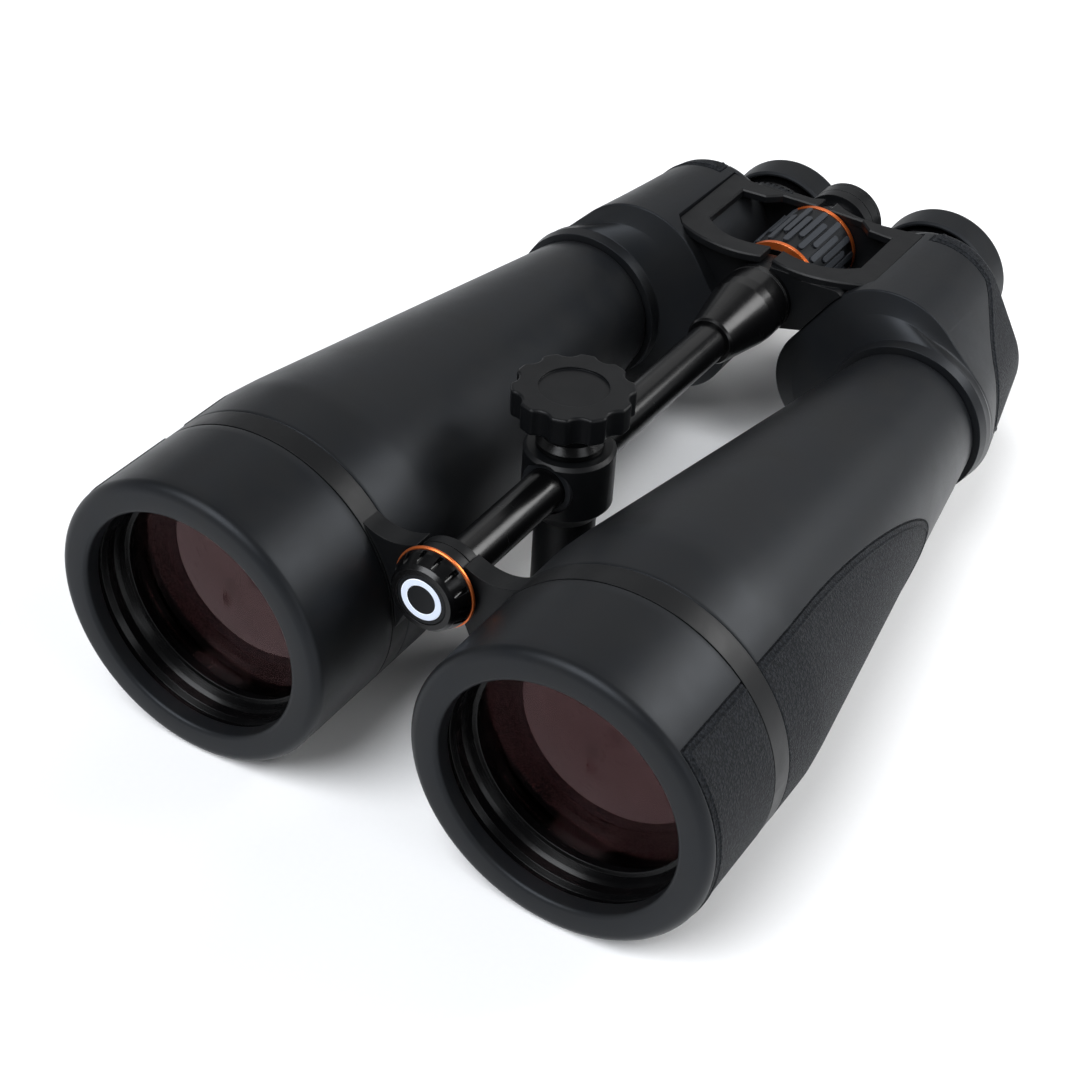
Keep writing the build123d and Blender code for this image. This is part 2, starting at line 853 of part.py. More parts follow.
# ---------------------------------------------------------------------------
# Tripod post and its clamp
# ---------------------------------------------------------------------------
def post_bush():
    half = 14.0
    with BuildPart() as bush:
        with BuildSketch(across(post_station + half, 0, hinge_z)):
            Circle(9.2)
            Circle(rod_r + running_fit, mode=Mode.SUBTRACT)
        extrude(amount=2 * half)
        with BuildSketch(level(hinge_z)):
            Circle(5.4)
        extrude(amount=12, mode=Mode.SUBTRACT)
    save(bush, "post_bush")


def post():
    with BuildPart() as body:
        with BuildSketch(upright()):
            with BuildLine():
                Polyline(
                    (0, post_bottom),
                    (post_r - 0.8, post_bottom),
                    (post_r, post_bottom + 0.8),
                    (post_r, 6.0),
                    (post_head_r, 12.0),
                    (post_head_r, 31.6),
                    (post_head_r - 1.2, 32.8),
                    (4.2, 32.8),
                    (4.2, 24.0),
                    (0, 24.0),
                    close=True,
                )
            make_face()
        revolve(axis=Axis((0, post_station - middle_station, 0), (0, 0, 1)))
        with BuildSketch(across(post_station + 20, 0, hinge_z)):
            Circle(9.2 + running_fit)
        extrude(amount=40, mode=Mode.SUBTRACT)
        with BuildSketch(level(post_bottom)):
            Circle(5.5 + skin_gap)
        extrude(amount=12.4, mode=Mode.SUBTRACT)
    save(body, "post")


def tripod_insert():
    with BuildPart() as insert:
        with BuildSketch(level(post_bottom + 0.1)):
            Circle(5.5)
        extrude(amount=12.0)
        with BuildSketch(level(post_bottom + 0.1)):
            Circle(insert_bore_r)
        extrude(amount=10.0, mode=Mode.SUBTRACT)
    save(insert, "tripod_insert")


def clamp_shoe():
    with BuildPart() as shoe:
        with BuildSketch(level(hinge_z + rod_r - 0.9)):
            Circle(4.0)
        extrude(amount=2.3)
        with BuildSketch(across(post_station + 6, 0, hinge_z)):
            Circle(rod_r + 0.02)
        extrude(amount=12, mode=Mode.SUBTRACT)
    save(shoe, "clamp_shoe")


def clamp_stem():
    """Screw that bears on the shoe, with the glossy neck over the post."""
    foot = hinge_z + rod_r + 1.45
    with BuildPart() as stem:
        with BuildSketch(upright()):
            with BuildLine():
                Polyline(
                    (0, foot),
                    (4.0, foot),
                    (4.0, 33.3),
                    (11.5, 33.3),
                    (11.5, 35.0),
                    (9.8, 37.4),
                    (8.8, 45.0),
                    (5.0, 45.0),
                    (5.0, 51.0),
                    (0, 51.0),
                    close=True,
                )
            make_face()
        revolve(axis=Axis((0, post_station - middle_station, 0), (0, 0, 1)))
    save(stem, "clamp_stem")


def clamp_knob():
    lobes = 10
    outer = 20.4
    with BuildPart() as knob:
        with BuildSketch(level(45.1)):
            Circle(outer)
            with PolarLocations(outer + 2.6, lobes, start_angle=18.0):
                Circle(4.6, mode=Mode.SUBTRACT)
            fillet(vertices(), radius=1.6)
        extrude(amount=9.9)
        fillet(knob.faces().sort_by(Axis.Z)[-1].edges(), radius=0.9)
        fillet(knob.faces().sort_by(Axis.Z)[0].edges(), radius=0.9)
        with BuildSketch(level(55.0)):
            Circle(11.7)
        extrude(amount=-0.8, mode=Mode.SUBTRACT)
        with BuildSketch(level(45.0)):
            Circle(5.0 + skin_gap)
        extrude(amount=6.2, mode=Mode.SUBTRACT)
    save(knob, "clamp_knob")


# ---------------------------------------------------------------------------
# Build everything
# ---------------------------------------------------------------------------
for make in (
    front_sleeve, barrel_tube, retaining_ring, crown_lens, flint_lens, barrel_armour,
    housing_boot, prism_housing, rear_cover, cover_screws, prism_shelf, entry_prism, exit_prism,
    field_lens, eye_lens, eyecup_sleeve, eyecup, diopter_ring,
    rod, cone_sleeve, focus_wheel, wheel_rings, wheel_grip, focus_screw, bridge_hub,
    lock_knob, lock_knob_ring, lock_knob_badge, lock_washer,
    post_bush, post, tripod_insert, clamp_shoe, clamp_stem, clamp_knob,
):
    make()

for make in (front_bridge, hinge_frame, eyepiece_arm, eyepiece_tube):
    for side in sides:
        make(side)
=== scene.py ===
import json
from math import atan2, cos, hypot, pi, radians, sin

import bmesh
import bpy
from mathutils import Matrix, Vector


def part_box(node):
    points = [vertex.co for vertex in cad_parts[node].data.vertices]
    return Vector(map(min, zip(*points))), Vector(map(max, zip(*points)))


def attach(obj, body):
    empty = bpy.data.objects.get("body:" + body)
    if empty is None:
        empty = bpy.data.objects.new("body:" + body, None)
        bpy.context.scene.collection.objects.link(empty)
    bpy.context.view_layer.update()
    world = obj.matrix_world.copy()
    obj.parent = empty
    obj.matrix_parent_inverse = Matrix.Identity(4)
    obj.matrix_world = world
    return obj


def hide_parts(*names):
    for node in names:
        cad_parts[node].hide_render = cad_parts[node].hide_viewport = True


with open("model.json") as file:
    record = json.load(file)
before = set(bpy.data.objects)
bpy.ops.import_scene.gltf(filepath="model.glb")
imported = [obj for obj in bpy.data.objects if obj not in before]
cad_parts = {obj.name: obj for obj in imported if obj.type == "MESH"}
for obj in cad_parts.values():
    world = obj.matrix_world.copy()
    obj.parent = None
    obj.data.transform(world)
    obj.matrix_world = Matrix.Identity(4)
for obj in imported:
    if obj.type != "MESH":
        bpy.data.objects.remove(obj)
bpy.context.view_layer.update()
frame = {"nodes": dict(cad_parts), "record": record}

MM = 0.001
SIDES = {"left": 1, "right": -1}          # sign of X of each half
nodes = frame["nodes"]


# ---------------------------------------------------------------------------
# Places taken from the frame
# ---------------------------------------------------------------------------
def middle(node):
    """Centre of a node's box."""
    low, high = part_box(node)
    return (low + high) / 2


def span(node):
    """First and last Y of a node."""
    low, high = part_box(node)
    return low.y, high.y


def radius_of(node):
    """Outer radius of a node that is round about an axis along Y."""
    low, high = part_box(node)
    return (high.z - low.z) / 2


BARREL = middle("left_front_sleeve")
HINGE = middle("rod")
RIM_Y = span("left_front_sleeve")[0]
STATION_0 = RIM_Y + 2 * MM             # flat of the front rim, behind its rolled edge


def station(value):
    """Y of a distance in mm behind the flat of the front rim."""
    return STATION_0 + value * MM


def barrel_axis(side):
    """A point on the axis of a barrel."""
    return Vector((SIDES[side] * BARREL.x, 0, BARREL.z))


# ---------------------------------------------------------------------------
# Materials
# ---------------------------------------------------------------------------
class Shader:
    """One Principled material whose colour, roughness and bump are built from nodes."""

    def __init__(self, name, **constants):
        self.material = bpy.data.materials.new(name)
        self.material.use_nodes = True
        self.tree = self.material.node_tree
        self.surface = self.tree.nodes["Principled BSDF"]
        for key, value in constants.items():
            socket = key.replace("_", " ").title().replace("Ior", "IOR")
            self.surface.inputs[socket].default_value = value
        self.place = self.node("ShaderNodeTexCoord").outputs["Object"]
        self.normal = None

    def node(self, kind, settings=None, **inputs):
        """New node with these settings, and a value or a link for each named input."""
        made = self.tree.nodes.new(kind)
        for key, value in (settings or {}).items():
            setattr(made, key, value)
        for key, value in inputs.items():
            self.feed(made.inputs[key.replace("_", " ")], value)
        return made

    def feed(self, socket, value):
        """Links a socket's value, or sets a number or colour."""
        if isinstance(value, bpy.types.NodeSocket):
            self.tree.links.new(value, socket)
        else:
            socket.default_value = value

    def stretched(self, x, y, z):
        """Object coordinates with each axis scaled."""
        return self.node("ShaderNodeMapping", Vector=self.place, Scale=(x, y, z)).outputs["Vector"]

    def noise(self, size, detail=3.0, where=None, distortion=0.0):
        """Noise whose features are about this size, in metres."""
        made = self.node("ShaderNodeTexNoise", Vector=where or self.place, Scale=1 / size, Detail=detail,
                         Distortion=distortion)
        return made.outputs["Fac"]

    def cells(self, size, smoothness=0.6):
        """Distance to the nearest cell centre, for pebbles of about this size."""
        made = self.node("ShaderNodeTexVoronoi", {"feature": "SMOOTH_F1"}, Vector=self.place,
                         Scale=1 / size, Smoothness=smoothness)
        return made.outputs["Distance"]

    def between(self, value, low, high, low_out=0.0, high_out=1.0):
        """Maps low..high to low_out..high_out, and holds the ends."""
        made = self.node("ShaderNodeMapRange", Value=value)
        for index, number in enumerate((low, high, low_out, high_out), start=1):
            made.inputs[index].default_value = number
        return made.outputs["Result"]

    def mixed(self, share, first, second):
        """Colour between first (share 0) and second (share 1)."""
        made = self.node("ShaderNodeMix", {"data_type": "RGBA"})
        self.feed(made.inputs[0], share)
        self.feed(made.inputs[6], first)
        self.feed(made.inputs[7], second)
        return made.outputs[2]

    def combined(self, first, second, operation="ADD"):
        made = self.node("ShaderNodeMath", {"operation": operation})
        self.feed(made.inputs[0], first)
        self.feed(made.inputs[1], second)
        return made.outputs[0]

    def edges(self, radius):
        """Rounded edge normals, and a mask that is 1 on the edges."""
        rounded = self.node("ShaderNodeBevel", {"samples": 4}, Radius=radius).outputs["Normal"]
        self.normal = rounded
        true_normal = self.node("ShaderNodeNewGeometry").outputs["Normal"]
        alike = self.node("ShaderNodeVectorMath", {"operation": "DOT_PRODUCT"})
        self.feed(alike.inputs[0], rounded)
        self.feed(alike.inputs[1], true_normal)
        return self.between(alike.outputs["Value"], 0.995, 0.9)

    def bump(self, height, distance, strength=1.0):
        """Adds relief this high to the normal."""
        made = self.node("ShaderNodeBump", Height=height, Distance=distance, Strength=strength)
        if self.normal is not None:
            self.feed(made.inputs["Normal"], self.normal)
        self.normal = made.outputs["Normal"]

    def from_hinge(self):
        """Distance from the hinge axis."""
        offset = self.node("ShaderNodeVectorMath", {"operation": "SUBTRACT"})
        self.feed(offset.inputs[0], self.place)
        self.feed(offset.inputs[1], (HINGE.x, 0.0, HINGE.z))
        flat = self.node("ShaderNodeVectorMath", {"operation": "MULTIPLY"})
        self.feed(flat.inputs[0], offset.outputs["Vector"])
        self.feed(flat.inputs[1], (1.0, 0.0, 1.0))
        length = self.node("ShaderNodeVectorMath", {"operation": "LENGTH"})
        self.feed(length.inputs[0], flat.outputs["Vector"])
        return length.outputs["Value"]

    def finish(self, colour, roughness):
        """Joins everything to the surface and returns the material."""
        self.feed(self.surface.inputs["Base Color"], colour)
        self.feed(self.surface.inputs["Roughness"], roughness)
        if self.normal is not None:
            self.feed(self.surface.inputs["Normal"], self.normal)
        return self.material


COOL = (0.86, 0.92, 1.0, 1)            # tint of the rubber's reflections
# radii of the painted shade between the wheel's bars: near black at the first, gone by the second
WHEEL_GAP_R = 16.15 * MM               # radius of the wheel's rubber between its raised bars
WHEEL_BAR_R = 16.7 * MM                # radius where the bars are fully pale


def grey(value, blue=1.3):
    """Near-neutral dark colour, a little blue."""
    return (value, value * (1 + (blue - 1) * 0.35), value * blue, 1.0)


def soft_touch(name, base, rough):
    """Smooth rubber skin: fine matt speckle, faint handling marks, paler worn edges."""
    skin = Shader(name, specular_ior_level=0.2, specular_tint=COOL)
    edge = skin.edges(0.45 * MM)
    marks = skin.noise(16 * MM, 4.0, distortion=0.6)
    speckle = skin.noise(0.35 * MM, 2.0)
    skin.bump(speckle, 0.012 * MM)
    colour = skin.mixed(skin.between(marks, 0.35, 0.75), grey(base), grey(base * 1.3, 1.05))
    rubbed_and_lit = skin.combined(edge, skin.between(marks, 0.3, 0.7), "MULTIPLY")
    colour = skin.mixed(rubbed_and_lit, colour, grey(base * 2.4))
    matt = skin.combined(skin.between(marks, 0.3, 0.8, rough - 0.03, rough + 0.04),
                         skin.between(speckle, 0.3, 0.7, -0.02, 0.03))
    return skin.finish(colour, matt)


def pebbled(name, base):
    """Grip rubber with a fine leather-like grain, with painted shade in the dips between its pebbles and
    paler pebbles.
    """
    grip = Shader(name, specular_ior_level=0.13, specular_tint=COOL)
    pebbles = grip.cells(0.95 * MM)
    crumbs = grip.noise(0.42 * MM, 4.0)
    height = grip.combined(grip.between(pebbles, 0.1, 0.6, 1.0, 0.0),
                           grip.between(crumbs, 0.3, 0.7, 0.0, 0.8))
    grip.bump(height, 0.32 * MM)
    # painted shade: the dips between the pebbles are darker, the pebbles paler
    hollow_shade = grip.between(pebbles, 0.25, 0.6)
    colour = grip.mixed(hollow_shade, grey(base * 1.8), grey(base * 0.5))
    return grip.finish(colour, grip.between(crumbs, 0.3, 0.7, 0.48, 0.7))


def wheel_rubber_painted_shade(name):
    """Rubber of the focusing wheel: painted shade between the raised bars, and painted light on their upper
    faces.
    """
    skin = Shader(name, specular_ior_level=0.3, specular_tint=COOL)
    skin.edges(0.3 * MM)
    # painted shade between the bars: share of the paler colour, 0 down in the gaps and 1 on the bars
    bar_light_share = skin.between(skin.from_hinge(), WHEEL_GAP_R, WHEEL_BAR_R)
    speckle = skin.noise(0.3 * MM, 3.0)
    skin.bump(speckle, 0.02 * MM)
    # painted light: the bars' upper faces are paler than the rubber itself, with a fine speckle
    rubbed_and_lit = skin.mixed(speckle, grey(0.016), grey(0.028))
    return skin.finish(skin.mixed(bar_light_share, grey(0.0015), rubbed_and_lit), skin.between(speckle, 0.3, 0.7, 0.42, 0.54))


def painted(name, base, rough, grain=0.02):
    """Satin paint on a casting: light orange peel and worn edges."""
    paint = Shader(name, specular_ior_level=0.2)
    edge = paint.edges(0.4 * MM)
    peel = paint.noise(1.1 * MM, 3.0)
    dust = paint.noise(9 * MM, 5.0, distortion=0.4)
    paint.bump(peel, grain * MM)
    worn = paint.combined(edge, paint.between(dust, 0.4, 0.7), "MULTIPLY")
    colour = paint.mixed(worn, grey(base), grey(base * 3.0, 1.04))
    return paint.finish(colour, paint.between(dust, 0.3, 0.75, rough - 0.04, rough + 0.07))


def turned_metal(name, colour, rough, metallic, level=0.5, worn=None):
    """Anodised round part: faint tool marks run round the axis."""
    metal = Shader(name, metallic=metallic, specular_ior_level=level)
    edge = metal.edges(0.25 * MM)
    lines = metal.noise(0.22 * MM, 2.0, metal.stretched(0.03, 1.0, 0.03))
    cloud = metal.noise(7 * MM, 3.0)
    metal.bump(lines, 0.0015 * MM)
    darker = tuple(c * 0.8 for c in colour[:3]) + (1.0,)
    tinted = metal.mixed(metal.between(cloud, 0.3, 0.75), colour, darker)
    if worn is not None:
        rubbed_and_lit = metal.combined(edge, metal.between(cloud, 0.35, 0.6), "MULTIPLY")
        tinted = metal.mixed(rubbed_and_lit, tinted, worn)
    satin = metal.combined(metal.between(lines, 0.3, 0.7, rough - 0.02, rough + 0.02),
                           metal.between(cloud, 0.3, 0.7, -0.02, 0.02))
    return metal.finish(tinted, satin)


def moulded(name, base, rough):
    """Moulded plastic with a very fine texture."""
    plastic = Shader(name, specular_ior_level=0.18)
    edge = plastic.edges(0.45 * MM)
    grain = plastic.noise(0.5 * MM, 3.0)
    cloud = plastic.noise(12 * MM, 3.0)
    plastic.bump(grain, 0.012 * MM)
    colour = plastic.mixed(edge, grey(base), grey(base * 1.8))
    return plastic.finish(colour, plastic.between(cloud, 0.3, 0.7, rough - 0.04, rough + 0.04))


def lens_glass(name, tint, clear, level, ior=1.38):
    """Coated optical glass: its reflection is weak and has the coating's own tint, and the light
    that passes takes the colour clear."""
    glass = Shader(name, transmission_weight=1.0, ior=ior, specular_tint=tint, specular_ior_level=level)
    bloom = glass.noise(22 * MM, 3.0)
    thin = tuple(c * 0.9 for c in clear)
    colour = glass.mixed(glass.between(bloom, 0.35, 0.7), clear + (1.0,), thin + (1.0,))
    return glass.finish(colour, glass.between(bloom, 0.4, 0.7, 0.0, 0.003))


MATERIALS = {
    "armour_rubber": soft_touch("smooth_armour", 0.006, 0.42),
    "armour_casting": soft_touch("housing_skin", 0.006, 0.42),
    "soft_rubber": soft_touch("moulded_rubber", 0.005, 0.5),
    "satin_casting": painted("satin_paint", 0.003, 0.42),
    "black_anodised": turned_metal("gloss_anodised", (0.0016, 0.0016, 0.0018, 1), 0.24, 0.0, 0.32,
                                   (0.02, 0.02, 0.021, 1)),
    "orange_anodised": turned_metal("orange_anodised_ring", (0.80, 0.17, 0.035, 1), 0.3, 0.8, 0.5,
                                    (0.9, 0.4, 0.2, 1)),
    "grey_disc": painted("disc_paint", 0.006, 0.42),
    "inner_black": turned_metal("cell_black", (0.0012, 0.0012, 0.0014, 1), 0.26, 0.0, 0.2),
    "bare_metal": turned_metal("turned_steel", (0.5, 0.5, 0.51, 1), 0.3, 1.0),
    "insert_metal": turned_metal("thread_brass", (0.6, 0.44, 0.2, 1), 0.33, 1.0),
    "black_screw": turned_metal("screw_black", (0.03, 0.03, 0.033, 1), 0.35, 0.6, 0.5,
                                (0.2, 0.2, 0.2, 1)),
    # the objective glass lets through only about a quarter of the light: painted shade that darkens the
    # inside of the barrel seen through it
    "coated_glass": lens_glass("ruby_coated_glass", (1.0, 0.38, 0.40, 1), (0.3, 0.25, 0.25), 0.3),
    "plain_glass": lens_glass("inner_glass", (0.5, 0.3, 0.3, 1), (0.6, 0.5, 0.5), 0.06),
    "ribbed_plastic": moulded("matt_plastic", 0.008, 0.5),
    "moulded_plastic": moulded("knob_plastic", 0.003, 0.42),
}
OWN_MATERIALS = {"wheel_grip": wheel_rubber_painted_shade("wheel_rubber_painted_shade")}   # by node, before its slot's material
GRIP = pebbled("grip_rubber", 0.008)
MARKING = painted("white_marking", 0.75, 0.45)


def paint_nodes():
    """Gives each CAD node the finished material of its slot."""
    for part in frame["record"]["subparts"]:
        mesh = nodes[part["node"]].data
        mesh.materials.clear()
        mesh.materials.append(OWN_MATERIALS.get(part["node"], MATERIALS[part["material_slot"]]))


# ---------------------------------------------------------------------------
# Meshes
# ---------------------------------------------------------------------------
def add_piece(name, mesh, body, slot, *materials, angle=35.0):
    """Adds a mesh to the scene on its body. Edges sharper than angle, in degrees, stay sharp."""
    piece = bpy.data.objects.new(name, mesh)
    bpy.context.scene.collection.objects.link(piece)
    for material in materials:
        mesh.materials.append(material)
    mesh.shade_smooth()
    mesh.set_sharp_from_angle(angle=radians(angle))
    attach(piece, body)
    return piece


def lathe(name, profile, centre, segments=192):
    """Closed ring turned about the axis along Y through centre, from (y, radius) points."""
    mesh = bpy.data.meshes.new(name)
    points, faces = [], []
    count = len(profile)
    for index in range(segments):
        turn = 2 * pi * index / segments
        for y, r in profile:
            points.append((centre.x + r * cos(turn), y, centre.z + r * sin(turn)))
        ahead = (index + 1) % segments
        for k in range(count):
            after = (k + 1) % count
            faces.append((index * count + k, ahead * count + k, ahead * count + after, index * count + after))
    mesh.from_pydata(points, [], faces)
    outward = bmesh.new()
    outward.from_mesh(mesh)
    bmesh.ops.recalc_face_normals(outward, faces=outward.faces)
    outward.to_mesh(mesh)
    outward.free()
    return mesh


def score(mesh, field, level):
    """Cuts new edges into a bmesh where field is at this level."""
    tiny = 1e-7
    halvings = 18
    values = {v: field(v.co) - level for v in mesh.verts}
    new = set(v for v, value in values.items() if abs(value) < tiny)
    for edge in list(mesh.edges):
        a, b = edge.verts
        if values[a] * values[b] < 0 and abs(values[a]) >= tiny and abs(values[b]) >= tiny:
            low, high = 0.0, 1.0
            start, end = a.co.copy(), b.co.copy()
            below = values[a] < 0
            for _ in range(halvings):
                share = (low + high) / 2
                if (field(start.lerp(end, share)) - level < 0) == below:
                    low = share
                else:
                    high = share
            made = bmesh.utils.edge_split(edge, a, (low + high) / 2)[1]
            values[made] = 0.0
            new.add(made)
    for face in list(mesh.faces):
        on_line = [v for v in face.verts if v in new]
        if len(on_line) == 2 and not any(set(e.verts) == set(on_line) for e in face.edges):
            bmesh.utils.face_split(face, on_line[0], on_line[1])


# ---------------------------------------------------------------------------
# Grip panels on the barrels and the housings
# ---------------------------------------------------------------------------
# A panel is a field: the distance from its outline in metres, growing inwards. Its border is a
# list of (distance, height) points: a groove, a flat band and a fine raised line.
BORDER = [(-0.05 * MM, 0.0), (0.15 * MM, -0.6 * MM), (0.6 * MM, -0.6 * MM), (0.8 * MM, -0.1 * MM),
          (2.4 * MM, 0.05 * MM), (2.7 * MM, 0.4 * MM), (3.1 * MM, 0.4 * MM), (3.4 * MM, 0.1 * MM)]
GRIP_FROM = 0.3 * MM                 # the grained rubber starts in the groove
SLEEVE_SLACK = 0.2 * MM              # how far under its radius a point is still on the sleeve
BARREL_SLACK = 0.45 * MM             # the same for the barrel
PANEL_HALF_ANGLE = radians(45)
PANEL_FULL_TO = station(70)          # the barrel's panel narrows from here
PANEL_LENGTH = 113 * MM              # from there to its tip
LEAST_SHARE = 0.01                   # keeps the field's slope finite on the panel's middle line


def height_at(distance):
    """Height of the border, level beyond its two ends."""
    if distance <= BORDER[0][0]:
        return BORDER[0][1]
    for (d1, h1), (d2, h2) in zip(BORDER, BORDER[1:]):
        if distance <= d2:
            return h1 + (h2 - h1) * (distance - d1) / (d2 - d1)
    return BORDER[-1][1]


def carve(mesh, field, away):
    """Moulds a panel's border into a mesh: edges are scored at each distance of the border, then
    the points move by its height along away(point). Faces inside the border take material 1."""
    work = bmesh.new()
    work.from_mesh(mesh)
    for distance, _ in BORDER:
        score(work, field, distance)
    work.normal_update()
    directions = {vertex: away(vertex) for vertex in work.verts}
    for face in work.faces:
        outside = all(directions[vertex] is not None for vertex in face.verts)
        if outside and field(face.calc_center_median()) > GRIP_FROM:
            face.material_index = 1
    moves = [(vertex, direction * height_at(field(vertex.co)))
             for vertex, direction in directions.items() if direction is not None]
    for vertex, move in moves:
        vertex.co += move
    work.to_mesh(mesh)
    work.free()


def outward_angle(point, side):
    """Angle about the barrel's axis, from level and outward."""
    return atan2(point.z - BARREL.z, SIDES[side] * point.x - BARREL.x)


def from_axis(point, side):
    """Square arm from the barrel's axis to a point."""
    return Vector((point.x - SIDES[side] * BARREL.x, 0, point.z - BARREL.z))


def sleeve_panel(side):
    """Front end of the barrel's panel, on the front sleeve."""
    front_edge = RIM_Y + 3.4 * MM

    def field(point):
        radius = from_axis(point, side).length
        return min((PANEL_HALF_ANGLE - abs(outward_angle(point, side))) * radius, point.y - front_edge)
    return field


def barrel_panel(side):
    """Panel along the barrel that narrows to a rounded tip."""
    def field(point):
        radius = max(from_axis(point, side).length, MM)
        along = max(0.0, point.y - PANEL_FULL_TO) / PANEL_LENGTH
        around = outward_angle(point, side) / PANEL_HALF_ANGLE
        reach = max(hypot(along, around), LEAST_SHARE)
        across = max(abs(around), LEAST_SHARE) / (PANEL_HALF_ANGLE * radius)
        slope = hypot(along / PANEL_LENGTH, across) / reach
        return (1 - reach) / slope
    return field


def radial(side, least):
    """Outward direction for points further from a barrel's axis than least(y)."""
    def away(vertex):
        arm = from_axis(vertex.co, side)
        return arm.normalized() if arm.length > least(vertex.co.y) else None
    return away


def quarter_round(y1, r1, y2, r2, steps):
    """Points of a quarter round between two profile points, bulging forward and outward."""
    turns = [pi / 2 * k / steps for k in range(1, steps)]
    return [(y2 + (y1 - y2) * cos(turn), r1 + (r2 - r1) * sin(turn)) for turn in turns]


def spaced(first, last, count):
    """Evenly spaced values, both ends included."""
    return [first + (last - first) * k / count for k in range(count + 1)]


HOOD_OPENING = 40.7 * MM             # radius inside the rolled lip
HOOD_SEAT = 44.2 * MM                # radius inside, on the barrel tube
HOOD_SEAT_Y = station(4.0)
HOOD_LIP = 1.6 * MM                  # rounding inside the rim
HOOD_ROUND = 3.6 * MM                # rounding outside the rim
HOOD_EDGE = 0.6 * MM                 # rounding of the back edge


def front_sleeve(side):
    """Rubber sleeve round the objective, with a rolled rim."""
    front, back = span("left_front_sleeve")
    outer = radius_of("left_front_sleeve")
    profile = [(front, HOOD_OPENING + HOOD_LIP), (front, outer - HOOD_ROUND)]
    profile += quarter_round(front, outer - HOOD_ROUND, front + HOOD_ROUND, outer, 8)
    profile += [(y, outer) for y in spaced(front + HOOD_ROUND, back - HOOD_EDGE, 12)]
    profile += [(back - 0.15 * MM, outer - 0.15 * MM), (back, outer - HOOD_EDGE),
                (back, 49.4 * MM), (back - 0.6 * MM, 49.0 * MM), (back - 1.6 * MM, HOOD_SEAT),
                (HOOD_SEAT_Y, HOOD_SEAT), (HOOD_SEAT_Y, HOOD_OPENING), (front + HOOD_LIP, HOOD_OPENING)]
    profile += [(front + HOOD_LIP - HOOD_LIP * sin(turn), HOOD_OPENING + HOOD_LIP - HOOD_LIP * cos(turn))
                for turn in (radians(22.5), radians(45), radians(67.5))]
    mesh = lathe(f"{side}_hood", profile, barrel_axis(side), 256)
    carve(mesh, sleeve_panel(side), radial(side, lambda y: outer - SLEEVE_SLACK))
    piece = add_piece(f"{side}_hood_sleeve", mesh, f"{side}_half", "armour_rubber",
                      MATERIALS["armour_rubber"], GRIP)
    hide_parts(f"{side}_front_sleeve")


TAPER_Y = station(69.6)              # the barrel narrows from here
TAIL_R = 27.8 * MM                   # radius at the back of the barrel
ARMOUR_THICK = 2.0 * MM


def barrel_skin(side):
    """Rubber of the tapered barrel, with the grip panel's border moulded in."""
    front, back = span("left_barrel_armour")
    full = radius_of("left_barrel_armour")

    def skin_radius(y):
        return full - (full - TAIL_R) * max(0.0, y - TAPER_Y) / (back - TAPER_Y)
    profile = [(front, full - 0.5 * MM), (front + 0.15 * MM, full - 0.15 * MM), (front + 0.5 * MM, full)]
    profile += [(y, full) for y in spaced(front + 1.5 * MM, TAPER_Y - 5 * MM, 8)]
    # the bend into the taper is rounded
    profile += [(TAPER_Y - 2 * MM, full - 0.05 * MM), (TAPER_Y + 1 * MM, full - 0.35 * MM),
                (TAPER_Y + 4 * MM, skin_radius(TAPER_Y + 4 * MM) - 0.1 * MM)]
    profile += [(y, skin_radius(y)) for y in spaced(TAPER_Y + 8 * MM, back - 1 * MM, 60)]
    profile += [(back - 0.3 * MM, TAIL_R - 0.25 * MM), (back, TAIL_R - 0.9 * MM),
                (back, TAIL_R - ARMOUR_THICK)]
    profile += [(y, full - ARMOUR_THICK) for y in (TAPER_Y, front + 2 * MM, front)]
    mesh = lathe(f"{side}_skin", profile, barrel_axis(side), 224)
    carve(mesh, barrel_panel(side), radial(side, lambda y: skin_radius(y) - BARREL_SLACK))
    piece = add_piece(f"{side}_barrel_skin", mesh, f"{side}_half", "armour_rubber",
                      MATERIALS["armour_rubber"], GRIP)
    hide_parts(f"{side}_barrel_armour")


HOUSING_X = 56 * MM                  # middle of the housing's outer half
HOUSING_PANEL_BACK = station(300)    # the panel runs out behind the housing
HOUSING_PANEL_REACH = 46 * MM        # how far forward it comes at mid height
HOUSING_PANEL_CURVE = 1.2            # how pointed its front is
HOUSING_PANEL_SPREAD = radians(68)   # from mid height to where its front edge is furthest back
HOUSING_PANEL_TOP = radians(106)
HOUSING_PANEL_BOTTOM = radians(-150)
LEAST_SLOPE = 0.4                    # share of a normal across Y, for a point to be on the side
LEAST_OUTWARD = 0.25                 # and share of that which points away from the middle


def housing_panel(side):
    """Panel round the outer side of the housing, with a pointed front."""
    def field(point):
        x = SIDES[side] * point.x - HOUSING_X
        z = point.z - BARREL.z
        radius = max(hypot(x, z), 5 * MM)
        turn = atan2(z, x)
        share = max(0.0, 1 - abs(turn) / HOUSING_PANEL_SPREAD)
        edge = HOUSING_PANEL_BACK - HOUSING_PANEL_REACH * share**HOUSING_PANEL_CURVE
        lean = (HOUSING_PANEL_REACH * HOUSING_PANEL_CURVE * share**(HOUSING_PANEL_CURVE - 1)
                / (HOUSING_PANEL_SPREAD * radius))
        return min((point.y - edge) / hypot(1, lean), (HOUSING_PANEL_TOP - turn) * radius,
                   (turn - HOUSING_PANEL_BOTTOM) * radius)
    return field


def from_housing(side):
    """Outward direction for points on the outside of a housing."""
    def away(vertex):
        slope = Vector((vertex.normal.x, 0, vertex.normal.z))
        out = Vector((vertex.co.x - SIDES[side] * HOUSING_X, 0, vertex.co.z - BARREL.z))
        if slope.length < LEAST_SLOPE or slope.dot(out) < LEAST_OUTWARD * out.length:
            return None
        return slope.normalized()
    return away


